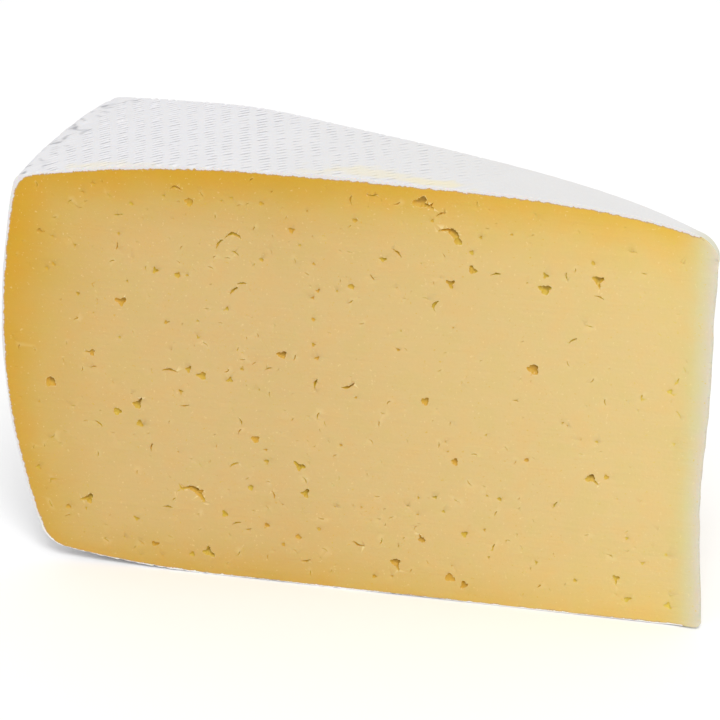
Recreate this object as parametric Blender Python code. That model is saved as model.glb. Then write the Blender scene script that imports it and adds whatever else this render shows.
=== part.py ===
"""Wedge of a white-rinded semi-hard cheese, cut like a slice of cake from a round wheel.

The wedge is one solid. It stands on the wheel's lower face, with both knife cuts upright.
Metres, +Z up. The origin is the bottom centre of the wedge's box. +X runs along the middle
of the wedge, from the heel, which is the wheel's rim, to the tip, which was its centre.

In section the wheel is described by a distance out from its centre line and a height.
"""
import math

import bmesh
import bpy
from mathutils import Matrix, Vector

# The wheel and the cut
WHEEL_RADIUS = 0.12626        # at the rim's fullest height
WHEEL_HEIGHT = 0.080          # at the crown of the top
WEDGE_ANGLE = math.radians(19.0)

# The rim bulges: one arc below its fullest height and a flatter one above it
RIM_FULLEST_HEIGHT = 0.042
RIM_LOWER_ARC_RADIUS = 0.1136
RIM_UPPER_ARC_RADIUS = 0.1362

# The top is crowned: level at the crown, falling along an arc towards the rim,
# and sagging towards the tip, where the sag grows as an exponential
CROWN_DISTANCE = 0.078
CROWN_ARC_RADIUS = 0.213
TIP_SAG = 0.0062
TIP_SAG_REACH = 0.0165

# The base is flat from the tip out to here, then lifts along an arc
FLAT_BASE_DISTANCE = 0.088
BASE_LIFT_ARC_RADIUS = 0.180

# Rounding of the four corners of the section
RIM_TOP_CORNER_RADIUS = 0.0024
RIM_BOTTOM_CORNER_RADIUS = 0.0060
TIP_TOP_CORNER_RADIUS = 0.0026
TIP_BOTTOM_CORNER_RADIUS = 0.0010

# How finely the curves are stepped
TOP_STEPS = 20
RIM_STEPS = 14
BASE_LIFT_STEPS = 6
CORNER_STEPS = 4
SPIN_STEPS = 12
MERGE_DISTANCE = 1e-6

PASTE_COLOUR = (0.72, 0.50, 0.20, 1.0)
PASTE_ROUGHNESS = 0.45


def rim_distance(height):
    """Distance of the rim from the wheel's centre line: an arc drawn as a parabola."""
    offset = height - RIM_FULLEST_HEIGHT
    arc_radius = RIM_UPPER_ARC_RADIUS if offset > 0.0 else RIM_LOWER_ARC_RADIUS
    return WHEEL_RADIUS - offset ** 2 / (2.0 * arc_radius)


def top_height(distance):
    """Height of the crowned top, less its sag towards the tip."""
    fall = max(0.0, distance - CROWN_DISTANCE) ** 2 / (2.0 * CROWN_ARC_RADIUS)
    sag = TIP_SAG * math.exp(-distance / TIP_SAG_REACH)
    return WHEEL_HEIGHT - fall - sag


def base_height(distance):
    """Height of the base: zero where it is flat, then an arc drawn as a parabola."""
    return max(0.0, distance - FLAT_BASE_DISTANCE) ** 2 / (2.0 * BASE_LIFT_ARC_RADIUS)


def corner_of_rim(height_at, first_height):
    """Point where the rim meets the top or the base, found by going back and forth."""
    height = first_height
    for _ in range(20):
        height = height_at(rim_distance(height))
    return Vector((rim_distance(height), height))


def spaced(start, end, steps):
    """Evenly spaced numbers from start to end, both included."""
    return [start + (end - start) * step / steps for step in range(steps + 1)]


def rounded(before, corner, after, radius):
    """Arc of the given radius, tangent to the two lines that meet at the corner."""
    to_before = (before - corner).normalized()
    to_after = (after - corner).normalized()
    half_angle = to_before.angle(to_after) / 2.0
    centre = corner + (to_before + to_after).normalized() * radius / math.sin(half_angle)
    reach = radius / math.tan(half_angle)
    start = corner + to_before * reach - centre
    turn = start.angle_signed(corner + to_after * reach - centre)
    return [centre + Matrix.Rotation(-turn * step / CORNER_STEPS, 2) @ start
            for step in range(CORNER_STEPS + 1)]


def wheel_section():
    """Outline of the half section: base outwards, up the rim, and the top back to the tip."""
    rim_bottom = corner_of_rim(base_height, 0.0)
    rim_top = corner_of_rim(top_height, WHEEL_HEIGHT)
    tip_bottom = Vector((0.0, 0.0))
    tip_top = Vector((0.0, top_height(0.0)))

    base = [Vector((distance, base_height(distance)))
            for distance in spaced(FLAT_BASE_DISTANCE,
                                   rim_bottom.x - RIM_BOTTOM_CORNER_RADIUS, BASE_LIFT_STEPS)]
    rim = [Vector((rim_distance(height), height))
           for height in spaced(rim_bottom.y + RIM_BOTTOM_CORNER_RADIUS,
                                rim_top.y - RIM_TOP_CORNER_RADIUS, RIM_STEPS)]
    top = [Vector((distance, top_height(distance)))
           for distance in spaced(rim_top.x - RIM_TOP_CORNER_RADIUS,
                                  TIP_TOP_CORNER_RADIUS * 1.2, TOP_STEPS)]

    outline = rounded(tip_top, tip_bottom, base[0], TIP_BOTTOM_CORNER_RADIUS)
    outline += base + rounded(base[-1], rim_bottom, rim[0], RIM_BOTTOM_CORNER_RADIUS)
    outline += rim + rounded(rim[-1], rim_top, top[0], RIM_TOP_CORNER_RADIUS)
    outline += top + rounded(top[-1], tip_top, tip_bottom, TIP_TOP_CORNER_RADIUS)
    return outline


def build_wedge():
    """Spin the section about the wheel's centre line and close the two knife cuts."""
    mesh = bpy.data.meshes.new("cheese_wedge")
    solid = bmesh.new()

    # the heel lies towards -X, so the section starts half the wedge's angle off -X
    first_cut = Matrix.Rotation(math.pi - WEDGE_ANGLE / 2.0, 3, "Z")
    rim_corners = [solid.verts.new(first_cut @ Vector((point.x, 0.0, point.y)))
                   for point in wheel_section()]
    section = solid.faces.new(rim_corners)
    bmesh.ops.spin(solid, geom=[section], cent=(0.0, 0.0, 0.0), axis=(0.0, 0.0, 1.0),
                   angle=WEDGE_ANGLE, steps=SPIN_STEPS, use_merge=False)

    # the tip's edge lies on the spin axis, where every step left the same points
    bmesh.ops.remove_doubles(solid, verts=solid.verts, dist=MERGE_DISTANCE)
    bmesh.ops.dissolve_degenerate(solid, edges=solid.edges, dist=MERGE_DISTANCE)
    bmesh.ops.recalc_face_normals(solid, faces=solid.faces)
    bmesh.ops.translate(solid, verts=solid.verts, vec=(WHEEL_RADIUS / 2.0, 0.0, 0.0))
    solid.to_mesh(mesh)
    solid.free()

    mesh.shade_smooth()
    mesh.set_sharp_from_angle(angle=math.radians(30.0))
    wedge = bpy.data.objects.new("cheese_wedge", mesh)
    bpy.context.collection.objects.link(wedge)
    return wedge


def paste_material():
    """Smooth, slightly moist yellow paste of a semi-hard cheese."""
    material = bpy.data.materials.new("semi_hard_paste")
    material.use_nodes = True
    shader = material.node_tree.nodes["Principled BSDF"]
    shader.inputs["Base Color"].default_value = PASTE_COLOUR
    shader.inputs["Roughness"].default_value = PASTE_ROUGHNESS
    shader.inputs["Metallic"].default_value = 0.0
    return material


for old in list(bpy.data.objects):
    bpy.data.objects.remove(old, do_unlink=True)

build_wedge().data.materials.append(paste_material())
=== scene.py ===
import math

import bpy
import numpy as np
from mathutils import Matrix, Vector
from mathutils.geometry import delaunay_2d_cdt


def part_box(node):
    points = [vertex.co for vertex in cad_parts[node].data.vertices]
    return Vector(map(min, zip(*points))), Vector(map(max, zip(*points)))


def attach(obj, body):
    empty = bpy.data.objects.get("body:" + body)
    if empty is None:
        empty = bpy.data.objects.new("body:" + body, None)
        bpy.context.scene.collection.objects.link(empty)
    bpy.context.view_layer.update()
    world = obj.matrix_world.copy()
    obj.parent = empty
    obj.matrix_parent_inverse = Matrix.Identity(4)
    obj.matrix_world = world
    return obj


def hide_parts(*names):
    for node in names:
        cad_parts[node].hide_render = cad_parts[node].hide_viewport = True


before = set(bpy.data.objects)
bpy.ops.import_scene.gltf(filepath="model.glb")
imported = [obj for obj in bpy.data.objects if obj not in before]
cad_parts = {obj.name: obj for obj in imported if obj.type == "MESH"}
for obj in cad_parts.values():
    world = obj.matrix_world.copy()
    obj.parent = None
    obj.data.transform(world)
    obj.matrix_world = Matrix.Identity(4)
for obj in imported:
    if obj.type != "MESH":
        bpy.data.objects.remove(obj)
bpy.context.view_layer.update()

# --- The wheel ----------------------------------------------------------------------------
# The wedge comes from a round wheel of semi-hard cheese with a white mould rind. The wheel is
# described by its section, a distance out from its centre line and a height, in millimetres.
# It has a bulging rim, a crowned top that sags at the tip, and a base that lifts at the rim.
MM = 0.001
cad_low, cad_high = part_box("cheese_wedge")
WHEEL_RADIUS = (cad_high.x - cad_low.x) / MM
HALF_ANGLE = math.asin((cad_high.y - cad_low.y) / 2 / (cad_high.x - cad_low.x))
TIP_X = cad_high.x / MM
RIM_FULLEST_HEIGHT = 42.0
RIM_LOWER_ARC_RADIUS = 113.6
RIM_UPPER_ARC_RADIUS = 136.2
CROWN_DISTANCE = 78.0
CROWN_ARC_RADIUS = 213.0
TIP_SAG = 6.2
TIP_SAG_REACH = 16.5
WHEEL_HEIGHT = cad_high.z / MM + TIP_SAG * math.exp(-CROWN_DISTANCE / TIP_SAG_REACH)
FLAT_BASE_DISTANCE = 88.0
BASE_LIFT_ARC_RADIUS = 180.0


def rim_distance(height):
    """How far out the rim is: the radius less the drop of an arc, lower or upper."""
    offset = height - RIM_FULLEST_HEIGHT
    arc_radius = np.where(offset > 0, RIM_UPPER_ARC_RADIUS, RIM_LOWER_ARC_RADIUS)
    return WHEEL_RADIUS - offset ** 2 / (2 * arc_radius)


def top_height(distance):
    """Height of the top: the fall of an arc past the crown, and a sag that dies away."""
    fall = np.maximum(0, distance - CROWN_DISTANCE) ** 2 / (2 * CROWN_ARC_RADIUS)
    return WHEEL_HEIGHT - fall - TIP_SAG * np.exp(-distance / TIP_SAG_REACH)


def base_height(distance):
    """Height of the base: nothing where it is flat, then the rise of an arc."""
    return np.maximum(0, distance - FLAT_BASE_DISTANCE) ** 2 / (2 * BASE_LIFT_ARC_RADIUS)


def rounded(before, corner, after, radius):
    """Arc tangent to both lines that meet at a corner: its centre is on the line that
    halves the corner, and the spoke is swept from one tangent point to the other."""
    first, second = before - corner, after - corner
    first, second = first / np.linalg.norm(first), second / np.linalg.norm(second)
    half = math.acos(first @ second) / 2
    middle = (first + second) / np.linalg.norm(first + second)
    centre = corner + middle * radius / math.sin(half)
    start = corner + first * radius / math.tan(half) - centre
    end = corner + second * radius / math.tan(half) - centre
    turn = math.pi - 2 * half
    share = np.linspace(0, 1, 25)[:, None]
    return centre + (np.sin((1 - share) * turn) * start + np.sin(share * turn) * end) / math.sin(turn)


def meeting(height_at, height):
    """Where the rim meets the top or the base, found by going back and forth."""
    for _ in range(20):
        height = height_at(rim_distance(height))
    return np.array([rim_distance(height), height])


RIM_BOTTOM_ROUNDING = 6.0
RIM_TOP_ROUNDING = 2.6
TIP_TOP_ROUNDING = 4.6
TIP_BOTTOM_ROUNDING = 1.0
rim_bottom = meeting(base_height, 0.0)
rim_top = meeting(top_height, WHEEL_HEIGHT)
tip_top = np.array([0.0, top_height(0.0)])

base_run = np.linspace(2, rim_bottom[0] - RIM_BOTTOM_ROUNDING, 400)
rim_run = np.linspace(rim_bottom[1] + RIM_BOTTOM_ROUNDING, rim_top[1] - RIM_TOP_ROUNDING, 400)
top_run = np.linspace(rim_top[0] - RIM_TOP_ROUNDING, TIP_TOP_ROUNDING * 1.2, 400)
base_line = np.stack([base_run, base_height(base_run)], 1)
rim_line = np.stack([rim_distance(rim_run), rim_run], 1)
top_line = np.stack([top_run, top_height(top_run)], 1)
tip_bottom_arc = rounded(tip_top, np.zeros(2), base_line[0], TIP_BOTTOM_ROUNDING)
rim_bottom_arc = rounded(base_line[-1], rim_bottom, rim_line[0], RIM_BOTTOM_ROUNDING)
rim_top_arc = rounded(rim_line[-1], rim_top, top_line[0], RIM_TOP_ROUNDING)
tip_top_arc = rounded(top_line[-1], tip_top, np.zeros(2), TIP_TOP_ROUNDING)
section = np.concatenate([tip_bottom_arc, base_line, rim_bottom_arc, rim_line, rim_top_arc,
                          top_line, tip_top_arc])
section_run = np.append(0, np.cumsum(np.linalg.norm(np.diff(section, axis=0), axis=1)))
section_tangent = np.gradient(section, section_run, axis=0)


def along_section(run):
    """Point and outward normal of the section at a length along it from the tip's foot."""
    point = np.stack([np.interp(run, section_run, section[:, k]) for k in (0, 1)], -1)
    tangent = np.stack([np.interp(run, section_run, section_tangent[:, k]) for k in (0, 1)], -1)
    tangent = tangent / np.linalg.norm(tangent, axis=-1, keepdims=True)
    return point, np.stack([tangent[..., 1], -tangent[..., 0]], -1)


def run_at(point):
    """Length along the section at its nearest point to this one."""
    return section_run[np.argmin(np.linalg.norm(section - point, axis=1))]


# --- The rind's relief ----------------------------------------------------------------------
# The press cloth is printed on the rind: columns of short slanted dents, each with a low ridge
# behind it, and smooth strips between. The print fades towards the tip, where the rind was
# pressed smooth, and crumples into creases along the rim's upper corner.
COLUMN_PITCH = 3.05
COLUMN_WIDTH = 1.75
COLUMN_TURN = math.radians(25.0)
COLUMN_SEEDS = 400
RIDGE_PITCH = 1.25
RIDGE_STEPS = 8
RIDGE_SLANT = math.tan(math.radians(17.0))
DENT_DEPTH = 0.27
DENT_REACH = 0.20
DENT_LEAD = 0.3
RIDGE_SHARE, RIDGE_BEHIND, RIDGE_REACH = 0.45, 0.42, 0.24
PRINT_WEAR = (0.12, 1.7)
PRINT_FADE_FROM, PRINT_FADE_TO = 34.0, 50.0
PRINT_WEAK_FROM, PRINT_FULL_FROM = 55.0, 105.0
PRINT_WEAK_SHARE = 0.42
CREASE_REACH = 9.0
CREASE_DEPTH = 0.22


def ripple(seed, wavelength, *places):
    """Gentle unevenness, about -1 to 1: sine waves of about one length in seeded directions."""
    draw = np.random.default_rng(seed)
    waves = 8
    total = 0.0
    for _ in range(waves):
        direction = draw.normal(size=len(places))
        direction /= np.linalg.norm(direction) * wavelength * draw.uniform(0.65, 1.5)
        phase = sum(place * step for place, step in zip(places, direction))
        total = total + np.sin(2 * np.pi * (phase + draw.uniform()))
    return total / math.sqrt(waves)


def ease(value, low, high):
    """0 below low, 1 above high, and an S-curve between them."""
    share = np.clip((value - low) / (high - low), 0, 1)
    return share * share * (3 - 2 * share)


def across_columns(x, y):
    """Place on the wheel's flat: turned in line with the columns, and the length along them
    sheared by the dents' slant, so that it stays the same all along a dent."""
    across = x * math.cos(COLUMN_TURN) + y * math.sin(COLUMN_TURN)
    along = y * math.cos(COLUMN_TURN) - x * math.sin(COLUMN_TURN)
    return across, along - RIDGE_SLANT * across


def ridge_print(across, phase, pitch, seed):
    """Height of the print as a share of a dent's depth: a bell-shaped dent and a lower bell
    behind it, repeated along each column. Each column has its own seeded start, a whole number
    of lattice steps, and its own strength, and waves wear the print thin in patches."""
    draw = np.random.default_rng(seed)
    column = np.floor(across / COLUMN_PITCH).astype(int)
    starts = draw.integers(0, RIDGE_STEPS, COLUMN_SEEDS)[column % COLUMN_SEEDS] * pitch / RIDGE_STEPS
    strengths = draw.uniform(0.7, 1.15, COLUMN_SEEDS)[column % COLUMN_SEEDS]
    from_middle = np.abs(across / COLUMN_PITCH - column - 0.5) * COLUMN_PITCH
    width = COLUMN_WIDTH / 2 + 0.15 * ripple(seed + 1, 4.0, across, phase)
    in_column = 1 - ease(from_middle, width - 0.25, width + 0.2)
    behind = ((phase - starts) / pitch + DENT_LEAD) % 1 * pitch - DENT_LEAD * pitch
    ridge = RIDGE_SHARE * np.exp(-((behind - RIDGE_BEHIND) / RIDGE_REACH) ** 2)
    dent = np.exp(-(behind / DENT_REACH) ** 2)
    patchy = (0.85 + 0.25 * ripple(seed + 2, 9.0, across, phase)
              + 0.50 * ripple(seed + 3, 2.0, across, phase))
    return (ridge - dent) * in_column * strengths * np.clip(patchy, *PRINT_WEAR)


def flat_relief(distance, turn, seed):
    """Relief of the top or the base above its plain surface, as two heights: its marks, the
    print handed over to creases near the rim, and its swell, a sum of long and short waves."""
    x, y = -distance * np.cos(turn), distance * np.sin(turn)
    across, phase = across_columns(x, y)
    fade = ease(distance, PRINT_FADE_FROM, PRINT_FADE_TO) * (
        PRINT_WEAK_SHARE + (1 - PRINT_WEAK_SHARE) * ease(distance, PRINT_WEAK_FROM, PRINT_FULL_FROM))
    crease_start = WHEEL_RADIUS - CREASE_REACH
    near_rim = ease(distance, crease_start - 4, crease_start + 3)
    fold = np.exp(-(ripple(seed + 5, 5.0, x, y) / 0.42) ** 2)
    crumpled = ease(ripple(seed + 8, 4.0, x, y), -0.4, 0.8)
    crease = -CREASE_DEPTH * fold * crumpled + 0.06 * ripple(seed + 9, 4.0, x, y)
    print_height = DENT_DEPTH * ridge_print(across, phase, RIDGE_PITCH, seed)
    marks = print_height * fade * (1 - 0.85 * near_rim) + crease * near_rim
    swell = 0.08 * ripple(seed + 6, 26.0, x, y) + 0.01 * ripple(seed + 7, 3.5, x, y)
    return np.stack([marks, swell])


RIM_RIDGE_PITCH = 1.7
RIM_DENT_DEPTH = 0.14
TOP_SEED, BASE_SEED, RIM_SEED = 10, 20, 40


def rim_relief(turn, height):
    """Relief of the rim, its marks and its swell: the same cloth stood on edge, so that its
    columns are upright and its dents lie level."""
    girth = WHEEL_RADIUS * turn
    marks = RIM_DENT_DEPTH * ridge_print(girth, height, RIM_RIDGE_PITCH, RIM_SEED)
    swell = (0.12 * ripple(RIM_SEED + 6, 22.0, girth, height)
             + 0.02 * ripple(RIM_SEED + 7, 3.0, girth, height))
    return np.stack([marks, swell])


BASE_RECESS = 0.14
SMOOTH_TIP = 6.0
run_rim_start = run_at(rim_bottom)
run_rim_end = run_at(rim_top)
run_end = section_run[-1]


def rind_relief(run, distance, turn, height):
    """Marks and swell all round the rind, each side's handed over to the next within its
    corner, and dying away at the tip. The base is recessed, so that none of it stands below
    the table."""
    rim_share = ease(run, run_rim_start - 2, run_rim_start + 3) * (
        1 - ease(run, run_rim_end - 2, run_rim_end + 1))
    on_top = ease(run, run_rim_end - 2, run_rim_end + 1)
    top = flat_relief(distance, turn, TOP_SEED)
    base = flat_relief(distance, turn, BASE_SEED)
    base[1] -= BASE_RECESS
    base[0] = np.minimum(base[0], -base[1])
    rim = rim_relief(turn, height)
    off_tip = ease(distance, 0, SMOOTH_TIP)
    return (top * on_top + rim * rim_share + base * (1 - on_top - rim_share)) * off_tip


# --- The knife cuts' outline ------------------------------------------------------------------
# Both cuts share the section's outline and meet at the tip's upright edge. The outline is
# stepped finely enough to carry the print's dents out to the cut, where they nick its edge.
OUTLINE_STEP = 0.36
BASE_STEP = 0.5
TIP_STEP = 0.6


def stretch(start, end, step):
    """Even lengths along the section from start up to, but not at, its end."""
    return np.linspace(start, end, max(2, round((end - start) / step)), endpoint=False)


base_runs = stretch(0, run_rim_start, BASE_STEP)
rim_runs = stretch(run_rim_start, run_rim_end, OUTLINE_STEP)
top_runs = np.append(stretch(run_rim_end, run_end, OUTLINE_STEP), run_end)
outline_runs = np.concatenate([base_runs, rim_runs, top_runs])
rim_first = len(base_runs)
top_first = rim_first + len(rim_runs)
outline, outline_normal = along_section(outline_runs)
outline[[0, -1], 0] = 0
outline_count = len(outline)


class Skin:
    """The points and triangles of the whole wedge, gathered side by side, with what the
    materials read at each point, in millimetres: how far inside the rind's inner edge it
    lies, how deep it counts for the paste's colour, how far it is from the tip, how deep it
    lies in an eye and how the rind's relief stands there; and a share, smeared with paste."""
    points, triangles, sides = [], [], []
    readings = {name: [] for name in ("inside_rind", "ripeness_depth", "from_tip", "in_eye",
                                      "relief", "smear")}
    count = 0


def add_points(points, **readings):
    """Adds points and what the materials read at them, and returns their numbers."""
    first = Skin.count
    Skin.points.append(points)
    for name, kept in Skin.readings.items():
        kept.append(np.broadcast_to(np.asarray(readings.get(name, 0.0), float), len(points)))
    Skin.count += len(points)
    return np.arange(first, Skin.count)


def placed(distance, turn, height):
    """Distance from the tip, turn from the wedge's middle and height, as a point."""
    return np.stack([TIP_X - distance * np.cos(turn), distance * np.sin(turn), height], -1)


def rind_points(run, turn):
    """Points of the rind at lengths along the section and turns from the middle, pushed out
    by the relief, with their plain distances from the tip and the height of their marks."""
    point, normal = along_section(run)
    relief = rind_relief(run, point[:, 0], turn, point[:, 1])
    moved = point + normal * relief.sum(0)[:, None]
    moved[:, 0] = np.maximum(moved[:, 0], 0)
    return placed(moved[:, 0], turn, moved[:, 1]), point[:, 0], relief[0]


SMEARS = (
    # from the tip and from the front cut, half their length and width, strength
    (60.0, 3.2, 8.5, 2.4, 0.38), (49.0, 1.6, 8.0, 1.6, 0.55), (68.5, 1.2, 5.0, 1.2, 0.22),
    (108.0, 1.3, 6.5, 1.5, 0.32), (100.5, 0.6, 5.0, 0.8, 0.20),
)


def smeared(run, distance, turn):
    """Share of paste rubbed over the top beside the front cut: the strongest of soft lenses,
    each full inside its ellipse and easing to nothing past it, their edges torn by waves."""
    from_cut = distance * (turn + HALF_ANGLE)
    torn = 1 + 0.25 * ripple(91, 3.4, distance, from_cut)
    share = 0.0
    for along, aside, half_length, half_width, strength in SMEARS:
        off = np.hypot((distance - along) / half_length, (from_cut - aside) / half_width) * torn
        share = np.maximum(share, strength * (1 - ease(off, 0.45, 1.1)))
    return share * (run > run_rim_end - 1)


def add_rind(run, turn):
    """Adds points of the rind. The reading of the marks fades out close to a cut, and the rind
    is thin at the tip, where the paste comes up to its edge."""
    points, distance, relief = rind_points(run, turn)
    from_cut = distance * (HALF_ANGLE - np.abs(turn))
    return add_points(points, inside_rind=1 - 2 * ease(distance, 1.0, 5.0), from_tip=distance,
                      relief=relief * ease(from_cut, 0.1, 0.7), smear=smeared(run, distance, turn))


def fill(side, numbers, places, border_count):
    """Fills a side with triangles between its border, the first points, and those inside
    it. The triangles are Delaunay's on the flattened side, all turned the same way."""
    border = list(range(border_count))
    found = delaunay_2d_cdt(places.tolist(), [], [border], 1, 1e-6)
    origin = np.array([start[0] for start in found[3]])
    faces = origin[np.array(found[2])]
    corners = places[faces]
    first, second = corners[:, 1] - corners[:, 0], corners[:, 2] - corners[:, 0]
    leftwards = first[:, 0] * second[:, 1] - first[:, 1] * second[:, 0] > 0
    faces = np.where(leftwards[:, None], faces, faces[:, ::-1])
    Skin.triangles.append(numbers[faces])
    Skin.sides.append(np.full(len(faces), side))


def lattice(low, high, step_x, step_y):
    """Points in staggered rows over a rectangle, whole steps from zero."""
    columns = np.arange(math.floor(low[0] / step_x), math.ceil(high[0] / step_x) + 1)
    rows = np.arange(math.floor(low[1] / step_y), math.ceil(high[1] / step_y) + 1)
    column, row = np.meshgrid(columns, rows, indexing="ij")
    return ((column + 0.5 * (row % 2)) * step_x).ravel(), (row * step_y).ravel()


FRONT, BACK, BASE, RIM, TOP = range(5)
TIP_READING = 3.0

front_numbers = add_rind(outline_runs, np.full(outline_count, -HALF_ANGLE))
back_numbers = add_rind(outline_runs[1:-1], np.full(outline_count - 2, HALF_ANGLE))
back_numbers = np.concatenate([front_numbers[:1], back_numbers, front_numbers[-1:]])
tip_heights = np.linspace(outline[-1, 1], outline[0, 1], round(outline[-1, 1] / TIP_STEP))[1:-1]
tip_numbers = add_points(placed(np.zeros(len(tip_heights)), 0.0, tip_heights),
                         inside_rind=TIP_READING, ripeness_depth=TIP_READING)


# --- The rind ---------------------------------------------------------------------------------
# One skin round the top, the rim and the base. Each side is filled with a lattice of points
# whose rows lie along the print's dents, so that every dent is crisp with few triangles.
ROW_STEP = 0.56
BASE_ROW_STEP = 0.95
BASE_RIDGE_STEPS = 4


def corner_row(run):
    """Points across the wedge along one of the rim's corners, from the front to the back."""
    distance = along_section(np.array([run]))[0][0, 0]
    turn = np.linspace(-HALF_ANGLE, HALF_ANGLE, round(2 * HALF_ANGLE * distance / ROW_STEP))[1:-1]
    return add_rind(np.full(len(turn), run), turn), turn


low_row, low_turn = corner_row(run_rim_start)
high_row, high_turn = corner_row(run_rim_end)


def rind_side(side, border, border_run, border_turn, run, turn, flatten):
    """Adds the points inside a side of the rind and fills it. flatten gives a point's place
    on the flattened side from its length along the section and its turn."""
    inside = add_rind(run, turn)
    numbers = np.concatenate([border, inside])
    places = flatten(np.append(border_run, run), np.append(border_turn, turn))
    fill(side, numbers, places, len(border))


def flat_side(side, runs, first, row, row_turn, row_run, steps, step_x):
    """Top or base: a lattice in line with the print, clipped to the wedge's outline. It has
    so many rows to a ridge's pitch, and is step_x across."""
    numbers = slice(first, first + len(runs))
    ends = (front_numbers[numbers], back_numbers[numbers])
    if side == TOP:
        border = np.concatenate([ends[0], ends[1][-2::-1], row[::-1]])
        border_run = np.concatenate([runs, runs[-2::-1], np.full(len(row), row_run)])
        border_turn = np.concatenate([np.full(len(runs), -HALF_ANGLE),
                                      np.full(len(runs) - 1, HALF_ANGLE), row_turn[::-1]])
    else:
        end_run = np.append(runs, row_run)
        front = np.append(ends[0], front_numbers[rim_first])
        back = np.append(ends[1], back_numbers[rim_first])
        border = np.concatenate([front, row, back[:0:-1]])
        border_run = np.concatenate([end_run, np.full(len(row), row_run), end_run[:0:-1]])
        border_turn = np.concatenate([np.full(len(end_run), -HALF_ANGLE), row_turn,
                                      np.full(len(end_run) - 1, HALF_ANGLE)])
    step_y = RIDGE_PITCH / steps

    def flatten(run, turn):
        """Place in lattice steps, across the columns and along the ridges' phase."""
        distance = flat_distance(run)
        across, phase = across_columns(-distance * np.cos(turn), distance * np.sin(turn))
        return np.stack([across / step_x, phase / step_y], -1)

    def flat_distance(run):
        """Straightens the side: lengths are measured from the tip's axis."""
        return run_end - run if side == TOP else run

    reach = flat_distance(np.array([row_run]))[0]
    edge = np.array([[0, 0], [-reach, reach * math.tan(HALF_ANGLE)],
                     [-reach, -reach * math.tan(HALF_ANGLE)]])
    across, phase = across_columns(edge[:, 0], edge[:, 1])
    across, phase = lattice((across.min(), phase.min()), (across.max(), phase.max()),
                            step_x, step_y)
    along = phase + RIDGE_SLANT * across
    x = across * math.cos(COLUMN_TURN) - along * math.sin(COLUMN_TURN)
    y = across * math.sin(COLUMN_TURN) + along * math.cos(COLUMN_TURN)
    distance, turn = np.hypot(x, y), np.arctan2(y, -x)
    margin = 0.3 * step_x
    kept = (distance < reach - margin) & (np.abs(turn) * distance < HALF_ANGLE * distance - margin)
    run = run_end - distance[kept] if side == TOP else distance[kept]
    rind_side(side, border, border_run, border_turn, run, turn[kept], flatten)


flat_side(TOP, top_runs, top_first, high_row, high_turn, run_rim_end, RIDGE_STEPS, ROW_STEP)
flat_side(BASE, base_runs, 0, low_row, low_turn, run_rim_start, BASE_RIDGE_STEPS, BASE_ROW_STEP)

RIM_ROW_STEP = RIM_RIDGE_PITCH / 5
RIM_COLUMN_STEP = 0.85
RIM_SIDE_GAP, RIM_END_GAP = 0.3, 0.15
rim_end_runs = np.append(rim_runs, run_rim_end)
rim_ends = slice(rim_first, top_first + 1)
rim_border = np.concatenate([front_numbers[rim_ends], high_row, back_numbers[rim_ends][::-1],
                             low_row[::-1]])
rim_border_run = np.concatenate([rim_end_runs, np.full(len(high_row), run_rim_end),
                                 rim_end_runs[::-1], np.full(len(low_row), run_rim_start)])
rim_border_turn = np.concatenate([np.full(len(rim_end_runs), -HALF_ANGLE), high_turn,
                                  np.full(len(rim_end_runs), HALF_ANGLE), low_turn[::-1]])
girth, run = lattice((-HALF_ANGLE * WHEEL_RADIUS, run_rim_start),
                     (HALF_ANGLE * WHEEL_RADIUS, run_rim_end), RIM_COLUMN_STEP, RIM_ROW_STEP)
kept = ((np.abs(girth) < HALF_ANGLE * WHEEL_RADIUS - RIM_SIDE_GAP)
        & (run > run_rim_start + RIM_END_GAP) & (run < run_rim_end - RIM_END_GAP))
rind_side(RIM, rim_border, rim_border_run, rim_border_turn, run[kept], girth[kept] / WHEEL_RADIUS,
          lambda run, turn: np.stack([turn * WHEEL_RADIUS / RIM_COLUMN_STEP,
                                      run / RIM_ROW_STEP], -1))


# --- The paste's eyes ---------------------------------------------------------------------------
# The curd was pressed loosely, so the paste is full of small eyes that are not round: gaps
# left between curds, with horns of unequal length and sides that curve in. Each is a shallow
# hollow, deepest under its upper side, where it runs in a little behind the cut.
EYE_KINDS = {
    #         depth body  width bend   three horns: direction, length and sharpness
    "corner": (0.58, 0.50, 0.90, 0.00, (30, 0.48, 6), (165, 0.52, 8), (290, 0.45, 9)),
    "block":  (0.50, 0.66, 0.85, 0.00, (45, 0.30, 7), (150, 0.34, 9), (265, 0.26, 6)),
    "tailed": (0.60, 0.50, 0.85, 0.00, (185, 0.80, 30), (60, 0.40, 5), (285, 0.36, 6)),
    "arch":   (0.34, 0.40, 0.46, 0.50, (0, 0.54, 3), (180, 0.60, 16), (315, 0.34, 5)),
    "slit":   (0.46, 0.46, 0.38, 0.22, (0, 0.54, 6), (180, 0.56, 14), (80, 0.12, 4)),
    "pit":    (0.52, 0.74, 0.80, 0.00, (40, 0.24, 6), (160, 0.20, 7), (270, 0.26, 6)),
    "nick":   (0.32, 0.42, 0.32, 0.24, (0, 0.50, 6), (180, 0.50, 9), (70, 0.16, 4)),
}
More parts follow.
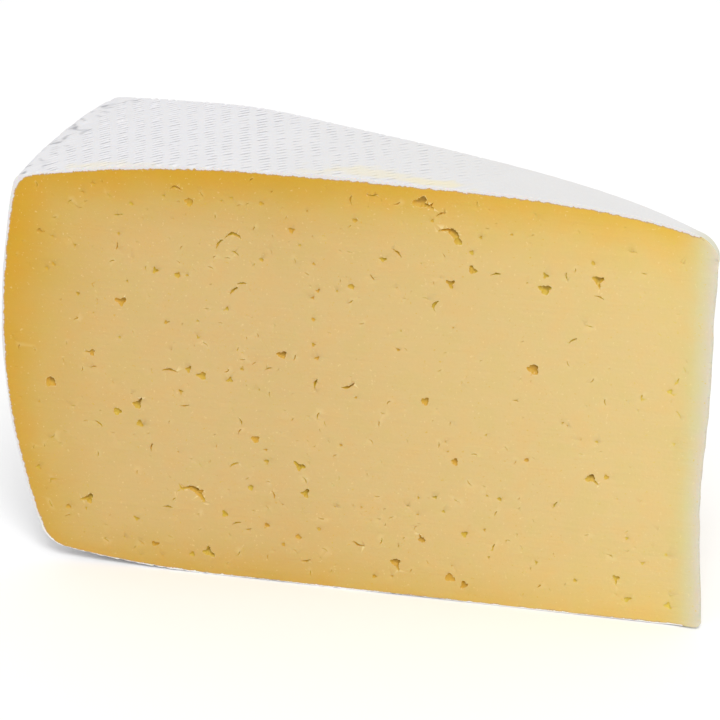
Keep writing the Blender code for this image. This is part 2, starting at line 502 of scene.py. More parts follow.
# The largest eyes of the front cut, to the nearest half millimetre: distance from the tip,
# height, length, kind and turn in degrees. All the others are seeded.
FRONT_EYES = (
    (104, 53, 2.5, "corner", 0), (82, 58.5, 2.0, "slit", 10), (83.5, 57, 2.3, "slit", 50),
    (92, 17, 4.8, "arch", 350), (90.5, 16.5, 1.8, "corner", 20), (45.5, 71.5, 4.4, "arch", 340),
    (44, 70, 1.9, "block", 300), (83.5, 67.5, 3.0, "arch", 5), (86, 65.5, 2.6, "nick", 60),
    (29, 62.5, 2.6, "block", 0), (72, 24, 2.3, "corner", 330), (71, 21.5, 1.8, "nick", 300),
    (111.5, 13, 2.7, "tailed", 0), (89, 4.5, 2.6, "corner", 150), (54.5, 6.5, 2.8, "tailed", 105),
    (75, 45.5, 2.2, "corner", 10), (117.5, 36, 2.6, "block", 70), (48, 57.5, 2.4, "arch", 80),
    (20, 65, 2.7, "tailed", 100), (109, 28.5, 2.0, "slit", 320), (84, 23, 2.4, "nick", 30),
    (93.5, 59, 1.5, "block", 10), (97.5, 59.5, 1.5, "corner", 80), (93.5, 75.5, 2.3, "arch", 5),
    (91, 73, 2.1, "block", 20), (54.5, 67, 2.2, "slit", 320), (57, 65.5, 1.5, "corner", 0),
    (41.5, 65, 2.1, "corner", 320), (69, 40.5, 2.3, "slit", 75), (92, 41, 1.6, "corner", 240),
    (89.5, 40, 2.1, "block", 10), (95.5, 40.5, 3.0, "nick", 0), (80, 28.5, 2.0, "block", 0),
    (96.5, 13, 2.1, "slit", 355), (42, 3.5, 2.0, "corner", 80), (20, 27.5, 2.6, "tailed", 140),
)
# The seeded eyes: how many on the front cut, and their lengths, which are lognormal: the
# logarithm of the middle one, the spread, the shortest and the longest.
LARGE_EYE_COUNT, SMALL_EYE_COUNT, NICK_COUNT = 66, 130, 270
LARGE_LENGTHS = (0.42, 0.34, 1.0, 3.8)
SMALL_LENGTHS = (-0.40, 0.30, 0.40, 1.05)
NICK_LENGTHS = (0.05, 0.35, 0.60, 2.0)
BACK_EYE_COUNT = 50
BACK_SMALL_SHARE = 0.45
TRIES = 60
CLEAR_OF_TIP = 2.5
CLEAR_OF_RIND = 1.2
CLEAR_OF_EYES = 0.25
HEEL_CROWDING = 0.8
EYE_DEPTHS = (0.09, 0.72)
TIP_EYES_REACH = 16.0
TIP_EYES_SHARE = 0.4


def clear_places(draw, lengths, taken):
    """Seeded places on a cut for eyes of these lengths, clear of the rind and each other and
    a little closer together towards the heel; an eye that finds no room is left out."""
    chosen = [tuple(row) for row in taken]
    found = []
    for length in lengths:
        found.append(None)
        for _ in range(TRIES):
            distance = CLEAR_OF_TIP + (WHEEL_RADIUS - CLEAR_OF_TIP) * draw.uniform() ** HEEL_CROWDING
            height = draw.uniform(1.5, WHEEL_HEIGHT)
            margin = CLEAR_OF_RIND + length / 2
            if (height > top_height(distance) - margin or height < base_height(distance) + margin
                    or distance > rim_distance(height) - margin or distance < margin):
                continue
            spread = [math.hypot(distance - x, height - y) - (length + other) / 2
                      for x, y, other in chosen]
            if min(spread, default=math.inf) > CLEAR_OF_EYES:
                chosen.append((distance, height, length))
                found[-1] = (distance, height, length)
                break
    return found


def seeded_lengths(draw, count, middle, spread, shortest, longest):
    """Lognormal lengths, none under the shortest or over the longest."""
    return np.clip(draw.lognormal(middle, spread, count), shortest, longest)


def cast_eyes(seed, listed, large_count, small_share):
    """All eyes of one cut, one column each: the listed ones, then seeded large, small and
    nicked ones. The rows are distance, height, half length, turn, depth, body, width and
    bend, then the horns' directions, lengths and sharpnesses, then a wobble."""
    draw = np.random.default_rng(seed)
    small_count, nick_count = round(SMALL_EYE_COUNT * small_share), round(NICK_COUNT * small_share)
    lengths = np.concatenate([seeded_lengths(draw, large_count, *LARGE_LENGTHS),
                              seeded_lengths(draw, small_count, *SMALL_LENGTHS),
                              seeded_lengths(draw, nick_count, *NICK_LENGTHS)])
    kinds = np.concatenate([draw.choice(["corner", "block", "tailed", "slit", "pit"], large_count),
                            draw.choice(["pit", "slit", "corner"], small_count),
                            np.full(nick_count, "nick")])
    eyes = list(listed)
    for kind, place in zip(kinds, clear_places(draw, lengths, [row[:3] for row in listed])):
        if place:
            eyes.append((*place, kind, draw.uniform(0, 360)))
    count = len(eyes)
    kind_rows = [EYE_KINDS[eye[3]] for eye in eyes]
    size = np.array([(*eye[:2], eye[2] / 2, math.radians(eye[4])) for eye in eyes])
    form = np.array([row[:4] for row in kind_rows])
    horns = np.array([row[4:] for row in kind_rows], float)
    depth = form[:, :1] * size[:, 2:3] * draw.uniform(0.8, 1.15, (count, 1))
    depth = np.clip(depth, *EYE_DEPTHS) * np.clip(size[:, :1] / TIP_EYES_REACH, TIP_EYES_SHARE, 1)
    directions = np.radians(horns[:, :, 0] + draw.normal(0, 9, (count, 3)))
    reaches = horns[:, :, 1] * draw.uniform(0.75, 1.15, (count, 3))
    wobble = draw.uniform(0, 2 * np.pi, (count, 2))
    return np.concatenate([size, depth, form[:, 1:], directions, reaches, horns[:, :, 2],
                           wobble], 1).T[:, :, None]


BOW_LEVEL = 0.3


def horned_radius(eyes, phi):
    """Radius of an eye's outline as a share of half its length: its body, a bump for each
    horn that narrows with its sharpness, and three waves that make every side different."""
    radius = (eyes[5] + 0.06 * np.sin(3 * phi + eyes[17]) + 0.05 * np.sin(5 * phi + eyes[18])
              + 0.045 * np.sin(8 * phi + 2 * eyes[17]))
    for horn in range(8, 11):
        radius = radius + eyes[horn + 3] * np.exp(eyes[horn + 6] * (np.cos(phi - eyes[horn]) - 1))
    return radius


def eye_outline(eyes, share, phi):
    """Places on the cut, on rings at shares of the eyes' outlines, at angles round them: the
    outline is squeezed to its width, bent like a bow, turned and put in place."""
    distance, height, radius, turn = eyes[:4]
    reach = radius * share * horned_radius(eyes, phi)
    x, y = reach * np.cos(phi), reach * np.sin(phi) * eyes[6]
    y = y - eyes[7] * (x * x / radius - BOW_LEVEL * radius)
    return (distance - x * np.cos(turn) + y * np.sin(turn),
            height + x * np.sin(turn) + y * np.cos(turn))


def eye_share(eyes, distance, height):
    """The reverse: the share of each eye's outline at which a place lies."""
    radius, turn = eyes[2:4]
    dx, dy = eyes[0] - distance, height - eyes[1]
    x = dx * np.cos(turn) + dy * np.sin(turn)
    y = dy * np.cos(turn) - dx * np.sin(turn)
    y = (y + eyes[7] * (x * x / radius - BOW_LEVEL * radius)) / eyes[6]
    return np.hypot(x, y) / (radius * horned_radius(eyes, np.arctan2(y, x)))


WALL_SHARES = (0.0, 0.45, 0.70, 0.88, 0.96, 1.0, 1.08, 1.22)
WALL_DEPTHS = (1.0, 0.95, 0.84, 0.60, 0.28, 0.05, -0.06, 0.0)
UPPER_SIDE = math.radians(50)
DEEPER_AT_UPPER = 0.55
UNDERCUT = 0.5


def eye_relief(eyes, distance, height):
    """How deep the paste lies in an eye, by its share of the outline and by how far towards
    the upper side it is, with a low lip just outside, and how far it is moved under that side."""
    depth = np.zeros(len(distance))
    for chunk in np.array_split(np.arange(len(distance)), max(1, len(distance) // 4000)):
        share = eye_share(eyes, distance[chunk], height[chunk])
        nearest = share.argmin(0)
        centre = eyes[:3, nearest, 0]
        rise = ((centre[0] - distance[chunk]) * math.cos(UPPER_SIDE)
                + (height[chunk] - centre[1]) * math.sin(UPPER_SIDE)) / centre[2]
        wall = np.interp(share.min(0), WALL_SHARES, WALL_DEPTHS)
        depth[chunk] = wall * eyes[4, nearest, 0] * (1 + DEEPER_AT_UPPER * np.clip(rise, -0.9, 0.9))
    depth = depth * (1 + 0.15 * ripple(71, 1.1, distance, height))
    shift = np.array([-math.cos(UPPER_SIDE), math.sin(UPPER_SIDE)]) * UNDERCUT
    return depth, shift * np.maximum(depth, 0)[:, None]


def ring_places(eyes, shares, steps):
    """Places on rings round eyes of one size: shares of the outline by steps round it."""
    phi = np.linspace(0, 2 * np.pi, steps, endpoint=False)
    found = [eye_outline(eyes, share, phi + (0 if step % 2 else np.pi / steps))
             for step, share in enumerate(shares)]
    return (np.concatenate([x.ravel() for x, _ in found]),
            np.concatenate([y.ravel() for _, y in found]))


# --- The two knife cuts ---------------------------------------------------------------------------
# Smooth paste as the knife left it, a little uneven, with the rind's white edge round it
# standing slightly proud. The tip's upright edge is soft and thin, and wavers.
PASTE_STEP = 2.1
EDGE_ROWS = (0.32, 0.68, 1.15, 1.8)
TIP_ROWS = (0.08, 0.22, 0.42, 0.7, 1.1, 1.7, 2.5, 3.7)
TIP_ROW_STEP = 1.1
RIND_PROUD = 0.05
TOP_RIND, RIM_RIND, BASE_RIND = 0.54, 0.36, 0.28
CORNER_RIND, CORNER_RIND_REACH = 0.9, 1.6
# how fast the paste changes below each side, against the top, and how far it lags behind
RIM_RIPENING, LOW_RIM_RIPENING, BASE_RIPENING = 0.50, 0.30, 0.95
LOW_RIM_LAG, BASE_LAG = 3.0, 4.6
RIPENING_BLEND = 1.6
# rings round an eye, by its length: shares of its outline, and the steps round it
LARGE_EYE, SMALL_EYE = 1.7, 0.95
LARGE_RINGS = (1.22, 1.08, 1.0, 0.96, 0.88, 0.70, 0.45), 26
MIDDLE_RINGS = (1.2, 1.0, 0.93, 0.75, 0.4), 18
SMALL_RINGS = (1.2, 1.0, 0.85, 0.45), 11
FAINT_RINGS = (1.12, 0.6), 10
FAINT_BELOW = 0.095
CLEAR_OF_RINGS = 1.3


def depth_under_rind(distance, height):
    """Distance from the section's outline, the shortest over all its points, and the number
    of the point it is measured from."""
    shortest = np.empty(len(distance))
    nearest = np.empty(len(distance), int)
    for chunk in np.array_split(np.arange(len(distance)), max(1, len(distance) // 2000)):
        apart = ((distance[chunk, None] - outline[None, :, 0]) ** 2
                 + (height[chunk, None] - outline[None, :, 1]) ** 2)
        shortest[chunk] = np.sqrt(apart.min(1))
        nearest[chunk] = apart.argmin(1)
    return shortest, nearest


def by_side(run, base, rim, top):
    """One number for each of base, rim and top, handed over from one to the next."""
    to_rim = ease(run, run_rim_start - 14, run_rim_start + 10)
    to_top = ease(run, run_rim_end - 9, run_rim_end + 5)
    return base + (rim - base) * to_rim + (top - rim) * to_top


def ripeness(distance, height):
    """Depth under the top, the rim and the base, weighed by how slowly each ripened the
    paste, and blended into one: the logarithm of the sum of their falling exponentials."""
    low = 1 - height / WHEEL_HEIGHT
    by_rim = (RIM_RIPENING + LOW_RIM_RIPENING * low) * (rim_distance(height) - distance)
    depths = (top_height(distance) - height, by_rim + LOW_RIM_LAG * low,
              BASE_RIPENING * (height - base_height(distance)) + BASE_LAG)
    return -RIPENING_BLEND * np.log(sum(np.exp(-depth / RIPENING_BLEND) for depth in depths))


def cut_face(side, border_numbers, turn, eyes):
    """One cut. Its border, rows that follow the rind's edge and the tip's, an open lattice
    and the eyes' rings are laid flat and filled with triangles. The points inside stand out by
    the rind's proud edge and by waves, and go in where there is an eye."""
    places = []
    for row, inset in enumerate(EDGE_ROWS):
        step = slice(2 + row % 2, -2, 1 if inset < 1 else 3)
        along = outline[step] - outline_normal[step] * inset
        places.append(along[depth_under_rind(along[:, 0], along[:, 1])[0] > inset * 0.95])
    for row, inset in enumerate(TIP_ROWS):
        heights = np.arange(2.5, outline[-1, 1] - 3.0, TIP_ROW_STEP) + 0.5 * (row % 2)
        places.append(np.stack([np.full(len(heights), inset), heights], 1))
    x, y = lattice((0, 0), (WHEEL_RADIUS, WHEEL_HEIGHT), PASTE_STEP, PASTE_STEP * 0.87)
    inner = (x > TIP_ROWS[-1] + 0.6) & (x < rim_distance(y)) & (
        y < top_height(x)) & (y > base_height(x))
    x, y = x[inner], y[inner]
    clear = depth_under_rind(x, y)[0] > EDGE_ROWS[-1] + 0.5
    places = np.concatenate([*places, np.stack([x, y], 1)[clear]])
    places = places[eye_share(eyes, places[:, 0], places[:, 1]).min(0) > CLEAR_OF_RINGS]

    length = eyes[2, :, 0] * 2
    faint = eyes[6, :, 0] * eyes[4, :, 0] < FAINT_BELOW
    large, small = length > LARGE_EYE, length <= SMALL_EYE
    sizes = ((~faint & large, LARGE_RINGS), (~faint & ~large & ~small, MIDDLE_RINGS),
             (~faint & small, SMALL_RINGS), (faint, FAINT_RINGS))
    rings = [np.stack(ring_places(eyes[:, chosen], shares, steps), 1)
             for chosen, (shares, steps) in sizes]
    rings.append(eyes[:2, :, 0].T)
    places = np.concatenate([places, *rings])
    under, nearest = depth_under_rind(places[:, 0], places[:, 1])
    run = outline_runs[nearest]
    depth, shift = eye_relief(eyes, places[:, 0], places[:, 1])
    proud = RIND_PROUD * (1 - ease(under, 0.4, 0.75)) * ease(under, 0.0, 0.3)
    uneven = (0.10 * ripple(61 + side, 30.0, places[:, 0], places[:, 1])
              + 0.02 * ripple(63 + side, 5.0, places[:, 0] * 0.3, places[:, 1]))
    out = proud + uneven * ease(under, 0.6, 4) * ease(places[:, 0], 0.5, 6) - depth
    moved = places + shift
    points = placed(moved[:, 0], turn, moved[:, 1])
    sign = math.copysign(1, turn)
    normal = np.array([math.sin(abs(turn)), sign * math.cos(turn), 0.0])
    points = points + out[:, None] * normal
    thickness = by_side(run, BASE_RIND, RIM_RIND, TOP_RIND) * ease(places[:, 0], 0.5, 6)
    off_corner = np.hypot(places[:, 0] - rim_top[0], places[:, 1] - rim_top[1])
    thickness = thickness + CORNER_RIND * np.exp(-(off_corner / CORNER_RIND_REACH) ** 2)
    inside = add_points(points, inside_rind=under - thickness, in_eye=depth,
                        ripeness_depth=ripeness(*places.T), from_tip=places[:, 0])
    border_places = np.concatenate([outline, np.stack([np.zeros(len(tip_heights)), tip_heights], 1)])
    fill(side, np.concatenate([border_numbers, tip_numbers, inside]),
         np.concatenate([border_places, places]), len(border_places))


front_eyes = cast_eyes(5, FRONT_EYES, LARGE_EYE_COUNT, 1.0)
cut_face(FRONT, front_numbers, -HALF_ANGLE, front_eyes)
back_eyes = cast_eyes(6, (), BACK_EYE_COUNT, BACK_SMALL_SHARE)
cut_face(BACK, back_numbers, HALF_ANGLE, back_eyes)


# --- One closed body --------------------------------------------------------------------------------
# The five sides share their borders' points, so the wedge is one closed skin, as the cheese
# is one body. Its thin tip is soft: the knife left it blunt, and it leans in and out.
TIP_BLUNTNESS = 0.55
TIP_SWELL_REACH = 6.0
TIP_SOFT_REACH = 5.0
LEAN_HEIGHTS = (0, 6, 13, 20, 27, 34, 41, 50, 61, 68, 75)
TIP_LEAN = (0.55, 0.25, -0.30, -0.70, -0.90, -0.60, -0.20, -0.05, -0.15, 0.15, 0.10)
points = np.concatenate(Skin.points)
triangles = np.concatenate(Skin.triangles)
sides = np.concatenate(Skin.sides)
to_tip = np.hypot(points[:, 0] - TIP_X, points[:, 1])
turned = np.arctan2(points[:, 1], TIP_X - points[:, 0]) / HALF_ANGLE
blunt = 1 - np.clip(to_tip / TIP_BLUNTNESS, 0, 1)
swell = TIP_BLUNTNESS * np.sqrt(1 - blunt ** 2) * (1 - ease(to_tip, TIP_BLUNTNESS, TIP_SWELL_REACH))
points[:, 1] += swell * np.clip(turned, -1, 1)
lean = np.interp(points[:, 2], LEAN_HEIGHTS, TIP_LEAN) + 0.06 * ripple(81, 7.0, points[:, 2])
points[:, 0] += lean * np.exp(-to_tip / TIP_SOFT_REACH)

# the thin foot of the tip lifts a little off the table
FOOT_LIFT = 0.45
FOOT_LENGTH, FOOT_HEIGHT = 9, 12
in_foot = (1 - ease(to_tip, 0, FOOT_LENGTH)) * (1 - ease(points[:, 2], 0, FOOT_HEIGHT))
points[:, 2] += FOOT_LIFT * in_foot

# the rim bulged unevenly as the wheel ripened, most at the back of the heel's upper corner
HEEL_BULGE = 1.5
BULGE_FROM = 96
BULGE_HEIGHTS = (30, 72)
in_bulge = ease(to_tip, BULGE_FROM, WHEEL_RADIUS) * ease(points[:, 2], *BULGE_HEIGHTS)
points[:, 0] -= HEEL_BULGE * in_bulge * ease(turned, -0.9, 0.9)

# each side is turned over if most of it faces the wedge's middle
middles = points[triangles].mean(1) - points.mean(0)
facing = np.cross(points[triangles[:, 1]] - points[triangles[:, 0]],
                  points[triangles[:, 2]] - points[triangles[:, 0]])
for side in (FRONT, BACK, BASE, RIM, TOP):
    chosen = sides == side
    if np.sum(middles[chosen] * facing[chosen]) < 0:
        triangles[chosen] = triangles[chosen][:, ::-1]

wedge_mesh = bpy.data.meshes.new("wedge_of_cheese")
wedge_mesh.from_pydata(points * MM, [], triangles.tolist())
wedge_mesh.update()
for name, values in Skin.readings.items():
    attribute = wedge_mesh.attributes.new(name, "FLOAT", "POINT")
    attribute.data.foreach_set("value", np.concatenate(values).astype(np.float32))

# the map lays each side flat on one sheet, in millimetres, and then fits the sheet to a square
SHEET = np.array([170.0, 208.0])
SHEET_GAP = 1.5
SHEET_MARGIN = 0.003
BASE_ON_SHEET = 0.94
corner = points[triangles.ravel()]
corner_side = np.repeat(sides, 3)
corner_distance = np.hypot(corner[:, 0] - TIP_X, corner[:, 1])
girth = np.arctan2(corner[:, 1], TIP_X - corner[:, 0]) * WHEEL_RADIUS
laid = np.stack([corner_distance, corner[:, 2]], 1)
laid[corner_side == BACK, 1] += WHEEL_HEIGHT + 2 * SHEET_GAP
half_width = WHEEL_RADIUS * math.sin(HALF_ANGLE)
on_top, on_base, on_rim = corner_side == TOP, corner_side == BASE, corner_side == RIM
laid[on_top] = np.stack([TIP_X - corner[on_top, 0], corner[on_top, 1] + half_width
                         + 2 * WHEEL_HEIGHT + 4 * SHEET_GAP], 1)
laid[on_rim] = np.stack([girth[on_rim] + half_width + WHEEL_RADIUS + SHEET_GAP,
                         corner[on_rim, 2]], 1)
laid[on_base] = np.stack([corner[on_base, 1] * BASE_ON_SHEET + half_width + WHEEL_RADIUS
                          + SHEET_GAP, (TIP_X - corner[on_base, 0]) * BASE_ON_SHEET
                          + WHEEL_HEIGHT + 3 * SHEET_GAP], 1)
sheet_map = wedge_mesh.uv_layers.new(name="OFBake")
sheet_map.uv.foreach_set("vector", (laid / SHEET + SHEET_MARGIN).ravel().astype(np.float32))

wedge = bpy.data.objects.new("wedge_of_cheese", wedge_mesh)
bpy.context.collection.objects.link(wedge)
wedge_mesh.polygons.foreach_set("material_index", (sides < BASE).astype(np.int32))
wedge_mesh.shade_smooth()
wedge_mesh.set_sharp_from_angle(angle=math.radians(60))
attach(wedge, "root")
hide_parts("cheese_wedge")


# --- Finish of the rind --------------------------------------------------------------------------
# White mould, a dry felt a few tenths of a millimetre thick over the pressed skin. It gives a
# chalky, faintly cool white, with painted shade in the print's dents and creases and a painted
# highlight on their crests, worn yellowish at the tip's edge and smeared where paste was dragged
# over it near the cut.
def linear(code):
    """Turns an sRGB hex colour into linear light."""
    parts = [int(code[k:k + 2], 16) / 255 for k in (1, 3, 5)]
    return (*(c / 12.92 if c <= 0.04045 else ((c + 0.055) / 1.055) ** 2.4 for c in parts), 1.0)


def add(tree, kind, sockets=(), **settings):
    """Adds a node. settings are its own properties, and sockets pairs an input's name or
    number with a plain value or with the output that is linked to it."""
    node = tree.nodes.new("ShaderNode" + kind)
    for name, value in settings.items():
        setattr(node, name, value)
    for name, value in dict(sockets).items():
        if isinstance(value, bpy.types.NodeSocket):
            tree.links.new(value, node.inputs[name])
        else:
            node.inputs[name].default_value = value
    return node


def new_finish(name):
    """An empty material, its tree, its shader and its Object coordinates in metres."""
    material = bpy.data.materials.new(name)
    material.use_nodes = True
    tree = material.node_tree
    place = add(tree, "TexCoord").outputs["Object"]
    return material, tree, tree.nodes["Principled BSDF"], place


def colour_steps(tree, share, reach, steps):
    """A ramp through (millimetres, hex colour) steps, read at a share of its reach."""
    ramp = add(tree, "ValToRGB", {0: share})
    band = ramp.color_ramp
    while len(band.elements) < len(steps):
        band.elements.new(0.5)
    for element, (depth, code) in zip(band.elements, steps):
        element.position = depth / reach
        element.color = linear(code)
    return ramp.outputs["Color"]


def laid_over(tree, colour, *layers):
    """Lays colours over a first one. Each layer is a reading, its value where the layer begins
    and where it is full, the most that it covers, and its colour: a hex code or a socket."""
    for value, begins, full, most, upper in layers:
        share = add(tree, "MapRange", {"Value": value, "From Min": begins, "From Max": full,
                                       "To Max": most}).outputs[0]
        upper = linear(upper) if isinstance(upper, str) else upper
        colour = add(tree, "Mix", {"Factor": share, 6: colour, 7: upper},
                     data_type="RGBA").outputs[2]
    return colour


def grain(tree, place, size_mm, detail=2.0, **sockets):
    """Noise whose features are about this many millimetres long."""
    return add(tree, "TexNoise", {"Vector": place, "Scale": 1 / (size_mm * MM),
                                  "Detail": detail, **sockets}).outputs["Fac"]


def reading(tree, name):
    """What the mesh says at each point, in millimetres."""
    return add(tree, "Attribute", attribute_name=name).outputs["Fac"]


MOULD_WHITE = "#dedddf"
MOULD_TIP = "#dad9d8"
WORN_TIP = "#cfcdb6"
# grey of the mould's mottling, and painted shade in the print's dents and creases
MOULD_GREY_AND_DENT_SHADE = "#a9a9ad"
# painted highlight on the print's crests
CREST_PAINTED_HIGHLIGHT = "#ececef"
SMEAR_YELLOW = "#e9dcae"
rind_finish, tree, shader, place = new_finish("white_mould_rind")
relief, smear, from_tip = (reading(tree, name) for name in ("relief", "smear", "from_tip"))
cloud = grain(tree, place, 7.0, 3.0)
felt = grain(tree, place, 0.55, 3.0)
fuzz = grain(tree, place, 0.22, 2.0)

# painted shade: the print's dents and creases are coloured darker, where shade falls in them, and the
# grey is also mottled by the mould's own growth
painted_hollow_shade = add(tree, "MapRange", {"Value": relief, "From Min": -0.03, "From Max": -0.16}).outputs[0]
mottle = add(tree, "Math", {0: cloud, 1: 0.12, 2: -0.10}, operation="MULTIPLY_ADD").outputs[0]
mottle = add(tree, "Math", {0: felt, 1: 0.14, 2: mottle}, operation="MULTIPLY_ADD").outputs[0]
dent_shade_and_mottle = add(tree, "Math", {0: painted_hollow_shade, 1: 0.95, 2: mottle}, operation="MULTIPLY_ADD",
            use_clamp=True).outputs[0]
white = laid_over(tree, linear(MOULD_WHITE),
                  (from_tip, 95.0, 40.0, 1.0, MOULD_TIP), (dent_shade_and_mottle, 0.0, 1.0, 1.0, MOULD_GREY_AND_DENT_SHADE),
                  # the crests' lighter colour is a painted highlight
                  (relief, 0.02, 0.10, 0.3, CREST_PAINTED_HIGHLIGHT), (from_tip, 5.5, 1.5, 0.9, WORN_TIP),
                  (smear, 0.0, 1.0, 1.0, SMEAR_YELLOW))
tree.links.new(white, shader.inputs["Base Color"])
shader.inputs["Roughness"].default_value = 0.93
shader.inputs["IOR"].default_value = 1.35
shader.inputs["Sheen Weight"].default_value = 0.10
shader.inputs["Sheen Roughness"].default_value = 0.6
shader.inputs["Subsurface Weight"].default_value = 0.1
shader.inputs["Subsurface Radius"].default_value = (1.0, 0.8, 0.6)
shader.inputs["Subsurface Scale"].default_value = 0.3 * MM
fuzzy = add(tree, "Math", {0: felt, 1: 0.5, 2: fuzz}, operation="MULTIPLY_ADD").outputs[0]
bump = add(tree, "Bump", {"Height": fuzzy, "Strength": 0.7, "Distance": 0.06 * MM})
tree.links.new(bump.outputs["Normal"], shader.inputs["Normal"])


# --- Finish of the paste ----------------------------------------------------------------------------
# Ripe semi-hard paste: smooth, a little oily and slightly see-through. It gives a golden colour
# under the rind, tan in the middle and pale at the thin tip, partly painted light through it, with
# olive and orange in the eyes, partly painted shade, darker painted shade deep in them and painted
# highlights on their lips, and a ragged white line of rind, brownish below and painted paler
# near the table against its shade, round the cut.
RIPENESS_REACH = 24.0
# colours by millimetres under the rind, at the heel's end and at the tip's, and then by
# millimetres from the tip's edge, the last partly painted light shining through the thin tip
HEEL_PASTE = ((0.5, "#c8981a"), (1.5, "#c89a21"), (3.0, "#c89c34"), (5.0, "#c8a148"),
              (7.0, "#c9a659"), (9.5, "#caa863"), (12.5, "#ccac6c"), (24.0, "#cdaf74"))
TIP_PASTE = ((0.5, "#dab142"), (1.5, "#dab34c"), (3.0, "#dbb65a"), (5.0, "#dbb965"),
             (7.0, "#dbbc70"), (9.5, "#dabd75"), (12.5, "#dabe7c"), (24.0, "#d9be80"))
TIP_EDGE_AND_GLOW = ((0.0, "#cec9b8"), (0.6, "#d1c7b0"), (1.5, "#d2c7a2"), (2.5, "#d2c796"),
            (3.5, "#d4c58b"), (5.0, "#d6c281"), (9.0, "#dabf7a"), (24.0, "#dabf7a"))
# the patches' tints, which are multiplied in, by the patches' noise
PASTE_TINTS = ((0.36, "#fffbf5"), (0.50, "#fdfdfb"), (0.64, "#fbfdf6"))
# the eyes' gold is partly their walls' own deeper yellow and partly painted shade of the hollow
EYE_OLIVE = "#cbaa32"
EYE_AT_TIP = "#d6bc48"
EYE_ORANGE = "#cd9f30"
# painted shade in the eyes' deepest parts
EYE_DEEP_PAINTED_SHADE = "#8c6a18"
UNDER_RIND_BROWN = "#b8966a"
# painted highlight on the eyes' lips and on pale specks
EYE_LIP_PAINTED_HIGHLIGHT = "#efdca4"
CUT_RIND = "#d5d3d2"
# painted light: the cut rind paled near the table against its contact shade
CUT_RIND_FOOT_PAINTED_LIGHT = "#f3f1ec"
RIND_LINE = -0.60
paste_finish, tree, shader, place = new_finish("cut_cheese_paste")
inside_rind, ripeness_depth, from_tip, in_eye = (
    reading(tree, name) for name in ("inside_rind", "ripeness_depth", "from_tip", "in_eye"))

# the paste by its ripeness, shifted a little in patches, then its pale edge at the tip, partly painted
# light shining through the thin edge
patch = grain(tree, place, 12.0, 2.0)
deep = add(tree, "Math", {0: patch, 1: 4.0, 2: ripeness_depth}, operation="MULTIPLY_ADD").outputs[0]
deep = add(tree, "Math", {0: deep, 1: -2.0}, operation="ADD").outputs[0]
deep = add(tree, "Math", {0: deep, 1: 1 / RIPENESS_REACH}, operation="MULTIPLY").outputs[0]
heel_paste = colour_steps(tree, deep, RIPENESS_REACH, HEEL_PASTE)
tip_paste = colour_steps(tree, deep, RIPENESS_REACH, TIP_PASTE)
body = laid_over(tree, heel_paste, (from_tip, 75.0, 9.0, 1.0, tip_paste))
edge_share = add(tree, "Math", {0: from_tip, 1: 1 / RIPENESS_REACH}, operation="MULTIPLY").outputs[0]
tip_edge_paste_and_glow = colour_steps(tree, edge_share, RIPENESS_REACH, TIP_EDGE_AND_GLOW)
at_edge = add(tree, "MapRange", {"Value": from_tip, "From Min": 9.0, "From Max": 0.5},
              interpolation_type="SMOOTHERSTEP").outputs[0]
body = add(tree, "Mix", {"Factor": at_edge, 6: body, 7: tip_edge_paste_and_glow}, data_type="RGBA").outputs[2]
tint = colour_steps(tree, grain(tree, place, 5.0, 4.0), 1.0, PASTE_TINTS)
body = add(tree, "Mix", {"Factor": 1.0, 6: body, 7: tint}, data_type="RGBA",
           blend_type="MULTIPLY").outputs[2]

# the eyes, their gold partly the walls' own colour and partly painted shade, darker painted shade
# where they are deepest, painted highlights on their lips, and specks too small for the mesh,
# the pale ones painted highlights
hue = grain(tree, place, 8.0, 1.0)
gold = laid_over(tree, linear(EYE_OLIVE), (hue, 0.42, 0.58, 1.0, EYE_ORANGE),
                 (from_tip, 30.0, 8.0, 1.0, EYE_AT_TIP))
specks = grain(tree, place, 0.5, 2.0)
body = laid_over(tree, body,
                 (in_eye, 0.01, 0.13, 0.95, gold), (in_eye, 0.45, 0.90, 0.85, EYE_DEEP_PAINTED_SHADE),
                 (in_eye, -0.006, -0.03, 0.45, EYE_LIP_PAINTED_HIGHLIGHT),
                 (specks, 0.67, 0.73, 0.25, EYE_LIP_PAINTED_HIGHLIGHT), (specks, 0.32, 0.26, 0.60, gold))

# the rind's cut edge, ragged by noise
ragged = grain(tree, place, 1.1, 4.0, Roughness=0.7)
edge = add(tree, "Math", {0: ragged, 1: -1.2, 2: inside_rind}, operation="MULTIPLY_ADD").outputs[0]
rind_part = add(tree, "MapRange", {"Value": edge, "From Min": RIND_LINE + 0.05,
                                   "From Max": RIND_LINE - 0.05}).outputs[0]
height = add(tree, "SeparateXYZ", {"Vector": place}).outputs["Z"]
# the cut rind is painted paler towards the table: painted light against the contact shade there
cut_rind = laid_over(tree, linear(CUT_RIND), (height, 8 * MM, 2 * MM, 1.0, CUT_RIND_FOOT_PAINTED_LIGHT))
body = laid_over(tree, body, (edge, RIND_LINE + 0.24, RIND_LINE + 0.05, 1.0, UNDER_RIND_BROWN),
                 (rind_part, 0.0, 1.0, 1.0, cut_rind))
tree.links.new(body, shader.inputs["Base Color"])

# moist paste shines unevenly, and the rind's edge is dry
moist = grain(tree, place, 3.0, 3.0)
sheen = add(tree, "MapRange", {"Value": moist, "To Min": 0.42, "To Max": 0.58}).outputs[0]
sheen = add(tree, "Mix", {"Factor": rind_part, 2: sheen, 3: 0.9}).outputs[0]
tree.links.new(sheen, shader.inputs["Roughness"])
shader.inputs["IOR"].default_value = 1.40
shader.inputs["Subsurface Weight"].default_value = 0.28
shader.inputs["Subsurface Radius"].default_value = (1.0, 0.55, 0.22)
shader.inputs["Subsurface Scale"].default_value = 1.2 * MM

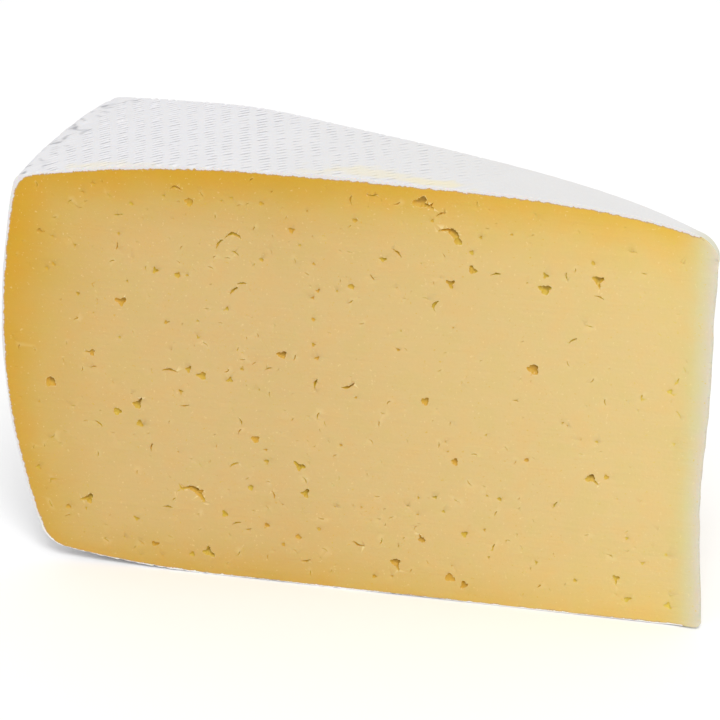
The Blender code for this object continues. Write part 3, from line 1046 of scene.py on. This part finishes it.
# the knife dragged the soft surface into fine level streaks over the curd's own grain
drag_place = add(tree, "Mapping", {"Vector": place, "Scale": (0.05, 0.05, 1.0)}).outputs[0]
drag = grain(tree, drag_place, 1.1, 2.0)
curd = grain(tree, place, 0.6, 3.0)
surface = add(tree, "Math", {0: curd, 1: 0.6, 2: drag}, operation="MULTIPLY_ADD").outputs[0]
bump = add(tree, "Bump", {"Height": surface, "Strength": 0.5, "Distance": 0.2 * MM})
tree.links.new(bump.outputs["Normal"], shader.inputs["Normal"])

wedge_mesh.materials.append(rind_finish)
wedge_mesh.materials.append(paste_finish)


# --- Stage -----------------------------------------------------------------------------------------
# Not part of the cheese: a pale table, soft studio light and the camera.
TABLE_REACH = 3.0
ROOM_LIGHT = 0.77
floor_mesh = bpy.data.meshes.new("floor")
floor_corners = [(x * TABLE_REACH, y * TABLE_REACH, 0) for x, y in ((-1, -1), (1, -1), (1, 1), (-1, 1))]
floor_mesh.from_pydata(floor_corners, [], [(0, 1, 2, 3)])
floor = bpy.data.objects.new("floor", floor_mesh)
bpy.context.collection.objects.link(floor)
paint = bpy.data.materials.new("matt_white_table")
paint.use_nodes = True
paint.node_tree.nodes["Principled BSDF"].inputs["Base Color"].default_value = linear("#fafafa")
paint.node_tree.nodes["Principled BSDF"].inputs["Roughness"].default_value = 0.9
floor_mesh.materials.append(paint)

world = bpy.data.worlds.new("soft_room")
world.use_nodes = True
world.node_tree.nodes["Background"].inputs["Color"].default_value = (1, 1, 1, 1)
world.node_tree.nodes["Background"].inputs["Strength"].default_value = ROOM_LIGHT
bpy.context.scene.world = world

AIM = Vector((0.00018, -0.0031, 0.04248))
CAMERA_DISTANCE = 0.5289


def outwards(turn, rise):
    """Unit vector away from the cheese: turned about the upright from -Y, and then raised."""
    turn, rise = math.radians(turn), math.radians(rise)
    return Vector((math.sin(turn) * math.cos(rise), -math.cos(turn) * math.cos(rise), math.sin(rise)))


def aim(thing, back, distance):
    """Stands a lamp or the camera back from the aim, looking at it, and links it."""
    thing.location = AIM + back * distance
    thing.rotation_euler = back.to_track_quat("Z", "Y").to_euler()
    bpy.context.collection.objects.link(thing)


softbox = bpy.data.lights.new("key_softbox", "AREA")
softbox.size = 1.0
softbox.energy = 30.0
aim(bpy.data.objects.new("key_softbox", softbox), outwards(28, 54), 2.5)
lens = bpy.data.cameras.new("camera")
lens.lens = 150
lens.sensor_width = 36
camera = bpy.data.objects.new("camera", lens)
aim(camera, outwards(22.0, 25.46), CAMERA_DISTANCE)
bpy.context.scene.camera = camera
bpy.context.scene.view_settings.view_transform = "Standard"
